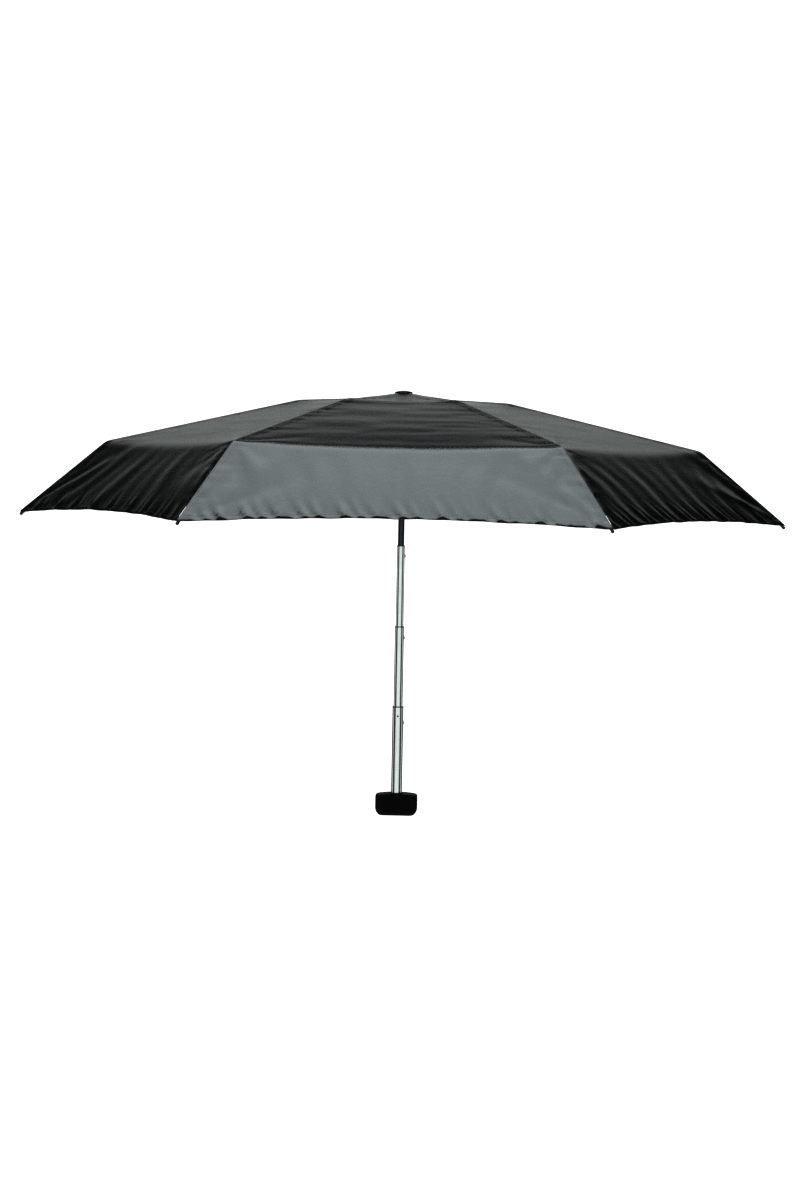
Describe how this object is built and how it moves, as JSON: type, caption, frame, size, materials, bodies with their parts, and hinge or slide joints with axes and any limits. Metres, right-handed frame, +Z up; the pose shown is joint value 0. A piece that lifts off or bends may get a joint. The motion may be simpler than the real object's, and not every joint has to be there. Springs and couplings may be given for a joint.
{
  "type": "folding umbrella",
  "caption": "Open compact folding umbrella: dark faceted cloth canopy on hinged folding ribs, telescoping grooved metal shaft, flat block grip.",
  "frame": {"origin": "middle of the grip's base, on the shaft's axis", "axes": "+Z up the shaft from the grip to the cap; +X through a rib tip and along the grip's width; -Y towards the gore seen in front"},
  "size_m": [0.9052, 0.7846, 0.5025],
  "materials": {
    "grip_plastic": "satin",
    "tube_aluminium": "satin",
    "tube_steel": "dark satin",
    "spring_steel": "satin",
    "hub_plastic": "satin",
    "cap_plastic": "semi-gloss",
    "tip_plastic": "semi-gloss",
    "rib_steel": "satin dark grey",
    "canopy_cloth": "tightly woven cloth with a soft shine"
  },
  "bodies": {
    "grip": {"handle": "grip_plastic", "handle_cover": "grip_plastic", "handle_pin": "spring_steel", "tube_1": "tube_aluminium"},
    "tube_2": {"tube_2": "tube_aluminium"},
    "tube_3": {"tube_3": "tube_aluminium"},
    "tube_4": {"tube_4": "tube_steel"},
    "top": {"tube_5": "tube_steel", "crown": "hub_plastic", "crown_wire": "spring_steel", "cap": "cap_plastic", "canopy_gore_1": "canopy_cloth", "canopy_gore_2": "canopy_cloth", "canopy_gore_3": "canopy_cloth", "canopy_gore_4": "canopy_cloth", "canopy_gore_5": "canopy_cloth", "canopy_gore_6": "canopy_cloth"},
    "runner": {"runner": "hub_plastic"},
    "tube_catch_2": {"tube_catch_2": "spring_steel"},
    "tube_catch_3": {"tube_catch_3": "spring_steel"},
    "tube_catch_4": {"tube_catch_4": "spring_steel"},
    "tube_catch_5": {"tube_catch_5": "spring_steel"},
    "runner_catch": {"runner_catch": "spring_steel"},
    "top_rib_1": {"top_rib_1": "rib_steel"},
    "second_rib_1": {"second_rib_1": "rib_steel"},
    "third_rib_1": {"third_rib_1": "rib_steel"},
    "tip_rib_1": {"tip_rib_1": "rib_steel", "tip_cap_1": "tip_plastic"},
    "stretcher_1": {"stretcher_1": "rib_steel"},
    "top_rib_2": {"top_rib_2": "rib_steel"},
    "second_rib_2": {"second_rib_2": "rib_steel"},
    "third_rib_2": {"third_rib_2": "rib_steel"},
    "tip_rib_2": {"tip_rib_2": "rib_steel", "tip_cap_2": "tip_plastic"},
    "stretcher_2": {"stretcher_2": "rib_steel"},
    "top_rib_3": {"top_rib_3": "rib_steel"},
    "second_rib_3": {"second_rib_3": "rib_steel"},
    "third_rib_3": {"third_rib_3": "rib_steel"},
    "tip_rib_3": {"tip_rib_3": "rib_steel", "tip_cap_3": "tip_plastic"},
    "stretcher_3": {"stretcher_3": "rib_steel"},
    "top_rib_4": {"top_rib_4": "rib_steel"},
    "second_rib_4": {"second_rib_4": "rib_steel"},
    "third_rib_4": {"third_rib_4": "rib_steel"},
    "tip_rib_4": {"tip_rib_4": "rib_steel", "tip_cap_4": "tip_plastic"},
    "stretcher_4": {"stretcher_4": "rib_steel"},
    "top_rib_5": {"top_rib_5": "rib_steel"},
    "second_rib_5": {"second_rib_5": "rib_steel"},
    "third_rib_5": {"third_rib_5": "rib_steel"},
    "tip_rib_5": {"tip_rib_5": "rib_steel", "tip_cap_5": "tip_plastic"},
    "stretcher_5": {"stretcher_5": "rib_steel"},
    "top_rib_6": {"top_rib_6": "rib_steel"},
    "second_rib_6": {"second_rib_6": "rib_steel"},
    "third_rib_6": {"third_rib_6": "rib_steel"},
    "tip_rib_6": {"tip_rib_6": "rib_steel", "tip_cap_6": "tip_plastic"},
    "stretcher_6": {"stretcher_6": "rib_steel"}
  },
  "joints": [
    {"name": "tube_2_slide", "type": "slide", "parent": "grip", "child": "tube_2", "axis": [0, 0, 1], "range_m": [-0.092, 0]},
    {"name": "tube_3_slide", "type": "slide", "parent": "tube_2", "child": "tube_3", "axis": [0, 0, 1], "range_m": [-0.089, 0]},
    {"name": "tube_4_slide", "type": "slide", "parent": "tube_3", "child": "tube_4", "axis": [0, 0, 1], "range_m": [-0.085, 0]},
    {"name": "tube_5_slide", "type": "slide", "parent": "tube_4", "child": "top", "axis": [0, 0, 1], "range_m": [-0.062, 0]},
    {"name": "tube_catch_2_press", "type": "slide", "parent": "tube_2", "child": "tube_catch_2", "axis": [1, 0, 0], "range_m": [-0.0023, 0], "stiffness_N_per_m": 1500, "springref_m": 0.0005, "deforming": ["tube_catch_2"]},
    {"name": "tube_catch_3_press", "type": "slide", "parent": "tube_3", "child": "tube_catch_3", "axis": [1, 0, 0], "range_m": [-0.0023, 0], "stiffness_N_per_m": 1500, "springref_m": 0.0005, "deforming": ["tube_catch_3"]},
    {"name": "tube_catch_4_press", "type": "slide", "parent": "tube_4", "child": "tube_catch_4", "axis": [1, 0, 0], "range_m": [-0.0023, 0], "stiffness_N_per_m": 1500, "springref_m": 0.0005, "deforming": ["tube_catch_4"]},
    {"name": "tube_catch_5_press", "type": "slide", "parent": "top", "child": "tube_catch_5", "axis": [1, 0, 0], "range_m": [-0.0023, 0], "stiffness_N_per_m": 1500, "springref_m": 0.0005, "deforming": ["tube_catch_5"]},
    {"name": "runner_slide", "type": "slide", "parent": "top", "child": "runner", "axis": [0, 0, 1], "range_m": [-0.06824, 0], "deforming": ["canopy_gore_1", "canopy_gore_2", "canopy_gore_3", "canopy_gore_4", "canopy_gore_5", "canopy_gore_6"]},
    {"name": "runner_catch_press", "type": "slide", "parent": "top", "child": "runner_catch", "axis": [1, 0, 0], "range_m": [-0.0043, 0], "stiffness_N_per_m": 800, "springref_m": 0.0008, "deforming": ["runner_catch"]},
    {"name": "top_rib_1_hinge", "type": "hinge", "parent": "top", "child": "top_rib_1", "pos_m": [0.009, 0, 0.492], "axis": [0, -1, 0], "range_deg": [-85.07, 0]},
    {"name": "second_rib_1_hinge", "type": "hinge", "parent": "top_rib_1", "child": "second_rib_1", "pos_m": [0.12347, 0, 0.4865], "axis": [0, -1, 0], "range_deg": [0, 188.23]},
    {"name": "third_rib_1_hinge", "type": "hinge", "parent": "second_rib_1", "child": "third_rib_1", "pos_m": [0.23119, 0, 0.45972], "axis": [0, -1, 0], "range_deg": [-178.95, 0]},
    {"name": "tip_rib_1_hinge", "type": "hinge", "parent": "third_rib_1", "child": "tip_rib_1", "pos_m": [0.35028, 0, 0.43326], "axis": [0, -1, 0], "range_deg": [0, 205.29]},
    {"name": "stretcher_1_hinge", "type": "hinge", "parent": "top_rib_1", "child": "stretcher_1", "pos_m": [0.05685, 0, 0.4877], "axis": [0, -1, 0], "range_deg": [0, 140.44]},
    {"name": "top_rib_2_hinge", "type": "hinge", "parent": "top", "child": "top_rib_2", "pos_m": [0.0045, 0.00779, 0.492], "axis": [0.866, -0.5, 0], "range_deg": [-85.07, 0]},
    {"name": "second_rib_2_hinge", "type": "hinge", "parent": "top_rib_2", "child": "second_rib_2", "pos_m": [0.06173, 0.10693, 0.4865], "axis": [0.866, -0.5, 0], "range_deg": [0, 188.23]},
    {"name": "third_rib_2_hinge", "type": "hinge", "parent": "second_rib_2", "child": "third_rib_2", "pos_m": [0.11559, 0.20022, 0.45972], "axis": [0.866, -0.5, 0], "range_deg": [-178.95, 0]},
    {"name": "tip_rib_2_hinge", "type": "hinge", "parent": "third_rib_2", "child": "tip_rib_2", "pos_m": [0.17514, 0.30335, 0.43326], "axis": [0.866, -0.5, 0], "range_deg": [0, 205.29]},
    {"name": "stretcher_2_hinge", "type": "hinge", "parent": "top_rib_2", "child": "stretcher_2", "pos_m": [0.02842, 0.04923, 0.4877], "axis": [0.866, -0.5, 0], "range_deg": [0, 140.44]},
    {"name": "top_rib_3_hinge", "type": "hinge", "parent": "top", "child": "top_rib_3", "pos_m": [-0.0045, 0.00779, 0.492], "axis": [0.866, 0.5, 0], "range_deg": [-85.07, 0]},
    {"name": "second_rib_3_hinge", "type": "hinge", "parent": "top_rib_3", "child": "second_rib_3", "pos_m": [-0.06173, 0.10693, 0.4865], "axis": [0.866, 0.5, 0], "range_deg": [0, 188.23]},
    {"name": "third_rib_3_hinge", "type": "hinge", "parent": "second_rib_3", "child": "third_rib_3", "pos_m": [-0.11559, 0.20022, 0.45972], "axis": [0.866, 0.5, 0], "range_deg": [-178.95, 0]},
    {"name": "tip_rib_3_hinge", "type": "hinge", "parent": "third_rib_3", "child": "tip_rib_3", "pos_m": [-0.17514, 0.30335, 0.43326], "axis": [0.866, 0.5, 0], "range_deg": [0, 205.29]},
    {"name": "stretcher_3_hinge", "type": "hinge", "parent": "top_rib_3", "child": "stretcher_3", "pos_m": [-0.02842, 0.04923, 0.4877], "axis": [0.866, 0.5, 0], "range_deg": [0, 140.44]},
    {"name": "top_rib_4_hinge", "type": "hinge", "parent": "top", "child": "top_rib_4", "pos_m": [-0.009, 0, 0.492], "axis": [0, 1, 0], "range_deg": [-85.07, 0]},
    {"name": "second_rib_4_hinge", "type": "hinge", "parent": "top_rib_4", "child": "second_rib_4", "pos_m": [-0.12347, 0, 0.4865], "axis": [0, 1, 0], "range_deg": [0, 188.23]},
    {"name": "third_rib_4_hinge", "type": "hinge", "parent": "second_rib_4", "child": "third_rib_4", "pos_m": [-0.23119, 0, 0.45972], "axis": [0, 1, 0], "range_deg": [-178.95, 0]},
    {"name": "tip_rib_4_hinge", "type": "hinge", "parent": "third_rib_4", "child": "tip_rib_4", "pos_m": [-0.35028, 0, 0.43326], "axis": [0, 1, 0], "range_deg": [0, 205.29]},
    {"name": "stretcher_4_hinge", "type": "hinge", "parent": "top_rib_4", "child": "stretcher_4", "pos_m": [-0.05685, 0, 0.4877], "axis": [0, 1, 0], "range_deg": [0, 140.44]},
    {"name": "top_rib_5_hinge", "type": "hinge", "parent": "top", "child": "top_rib_5", "pos_m": [-0.0045, -0.00779, 0.492], "axis": [-0.866, 0.5, 0], "range_deg": [-85.07, 0]},
    {"name": "second_rib_5_hinge", "type": "hinge", "parent": "top_rib_5", "child": "second_rib_5", "pos_m": [-0.06173, -0.10693, 0.4865], "axis": [-0.866, 0.5, 0], "range_deg": [0, 188.23]},
    {"name": "third_rib_5_hinge", "type": "hinge", "parent": "second_rib_5", "child": "third_rib_5", "pos_m": [-0.11559, -0.20022, 0.45972], "axis": [-0.866, 0.5, 0], "range_deg": [-178.95, 0]},
    {"name": "tip_rib_5_hinge", "type": "hinge", "parent": "third_rib_5", "child": "tip_rib_5", "pos_m": [-0.17514, -0.30335, 0.43326], "axis": [-0.866, 0.5, 0], "range_deg": [0, 205.29]},
    {"name": "stretcher_5_hinge", "type": "hinge", "parent": "top_rib_5", "child": "stretcher_5", "pos_m": [-0.02842, -0.04923, 0.4877], "axis": [-0.866, 0.5, 0], "range_deg": [0, 140.44]},
    {"name": "top_rib_6_hinge", "type": "hinge", "parent": "top", "child": "top_rib_6", "pos_m": [0.0045, -0.00779, 0.492], "axis": [-0.866, -0.5, 0], "range_deg": [-85.07, 0]},
    {"name": "second_rib_6_hinge", "type": "hinge", "parent": "top_rib_6", "child": "second_rib_6", "pos_m": [0.06173, -0.10693, 0.4865], "axis": [-0.866, -0.5, 0], "range_deg": [0, 188.23]},
    {"name": "third_rib_6_hinge", "type": "hinge", "parent": "second_rib_6", "child": "third_rib_6", "pos_m": [0.11559, -0.20022, 0.45972], "axis": [-0.866, -0.5, 0], "range_deg": [-178.95, 0]},
    {"name": "tip_rib_6_hinge", "type": "hinge", "parent": "third_rib_6", "child": "tip_rib_6", "pos_m": [0.17514, -0.30335, 0.43326], "axis": [-0.866, -0.5, 0], "range_deg": [0, 205.29]},
    {"name": "stretcher_6_hinge", "type": "hinge", "parent": "top_rib_6", "child": "stretcher_6", "pos_m": [0.02842, -0.04923, 0.4877], "axis": [-0.866, -0.5, 0], "range_deg": [0, 140.44]}
  ],
  "couplings": [
    {"joint": "top_rib_1_hinge", "follows": "runner_slide", "rad_per_m": 21.753},
    {"joint": "second_rib_1_hinge", "follows": "runner_slide", "rad_per_m": -48.138},
    {"joint": "third_rib_1_hinge", "follows": "runner_slide", "rad_per_m": 45.764},
    {"joint": "tip_rib_1_hinge", "follows": "runner_slide", "rad_per_m": -52.501},
    {"joint": "stretcher_1_hinge", "follows": "runner_slide", "rad_per_m": -35.915},
    {"joint": "top_rib_2_hinge", "follows": "runner_slide", "rad_per_m": 21.753},
    {"joint": "second_rib_2_hinge", "follows": "runner_slide", "rad_per_m": -48.138},
    {"joint": "third_rib_2_hinge", "follows": "runner_slide", "rad_per_m": 45.764},
    {"joint": "tip_rib_2_hinge", "follows": "runner_slide", "rad_per_m": -52.501},
    {"joint": "stretcher_2_hinge", "follows": "runner_slide", "rad_per_m": -35.915},
    {"joint": "top_rib_3_hinge", "follows": "runner_slide", "rad_per_m": 21.753},
    {"joint": "second_rib_3_hinge", "follows": "runner_slide", "rad_per_m": -48.138},
    {"joint": "third_rib_3_hinge", "follows": "runner_slide", "rad_per_m": 45.764},
    {"joint": "tip_rib_3_hinge", "follows": "runner_slide", "rad_per_m": -52.501},
    {"joint": "stretcher_3_hinge", "follows": "runner_slide", "rad_per_m": -35.915},
    {"joint": "top_rib_4_hinge", "follows": "runner_slide", "rad_per_m": 21.753},
    {"joint": "second_rib_4_hinge", "follows": "runner_slide", "rad_per_m": -48.138},
    {"joint": "third_rib_4_hinge", "follows": "runner_slide", "rad_per_m": 45.764},
    {"joint": "tip_rib_4_hinge", "follows": "runner_slide", "rad_per_m": -52.501},
    {"joint": "stretcher_4_hinge", "follows": "runner_slide", "rad_per_m": -35.915},
    {"joint": "top_rib_5_hinge", "follows": "runner_slide", "rad_per_m": 21.753},
    {"joint": "second_rib_5_hinge", "follows": "runner_slide", "rad_per_m": -48.138},
    {"joint": "third_rib_5_hinge", "follows": "runner_slide", "rad_per_m": 45.764},
    {"joint": "tip_rib_5_hinge", "follows": "runner_slide", "rad_per_m": -52.501},
    {"joint": "stretcher_5_hinge", "follows": "runner_slide", "rad_per_m": -35.915},
    {"joint": "top_rib_6_hinge", "follows": "runner_slide", "rad_per_m": 21.753},
    {"joint": "second_rib_6_hinge", "follows": "runner_slide", "rad_per_m": -48.138},
    {"joint": "third_rib_6_hinge", "follows": "runner_slide", "rad_per_m": 45.764},
    {"joint": "tip_rib_6_hinge", "follows": "runner_slide", "rad_per_m": -52.501},
    {"joint": "stretcher_6_hinge", "follows": "runner_slide", "rad_per_m": -35.915}
  ]
}
